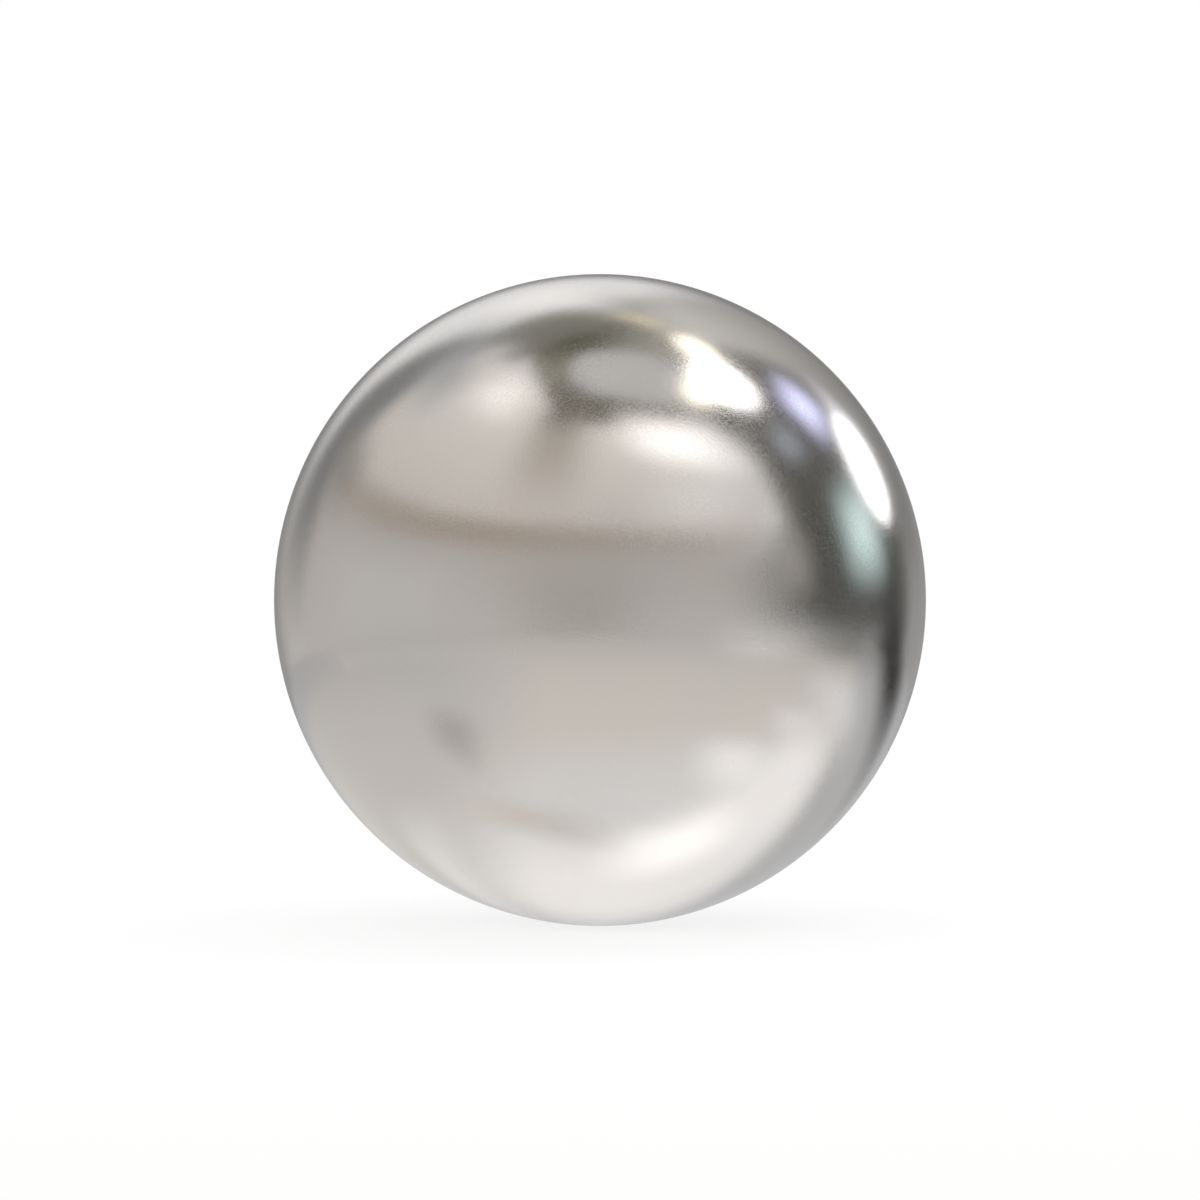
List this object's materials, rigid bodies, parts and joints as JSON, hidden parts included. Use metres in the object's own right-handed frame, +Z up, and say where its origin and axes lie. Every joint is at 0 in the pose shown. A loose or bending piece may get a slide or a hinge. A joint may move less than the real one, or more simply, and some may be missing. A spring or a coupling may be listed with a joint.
{
  "type": "steel ball",
  "caption": "Solid round steel ball with a fine satin polish all over; seats in a cup, ring, hole or groove as a bearing ball, roller or weight.",
  "frame": {"origin": "centre of the ball", "axes": "+Z up and -Y towards the camera; the ball is the same about every axis through its centre"},
  "size_m": [0.0254, 0.0254, 0.0254],
  "materials": {
    "steel": "gloss"
  },
  "bodies": {
    "root": {"ball": "steel"}
  },
  "joints": []
}
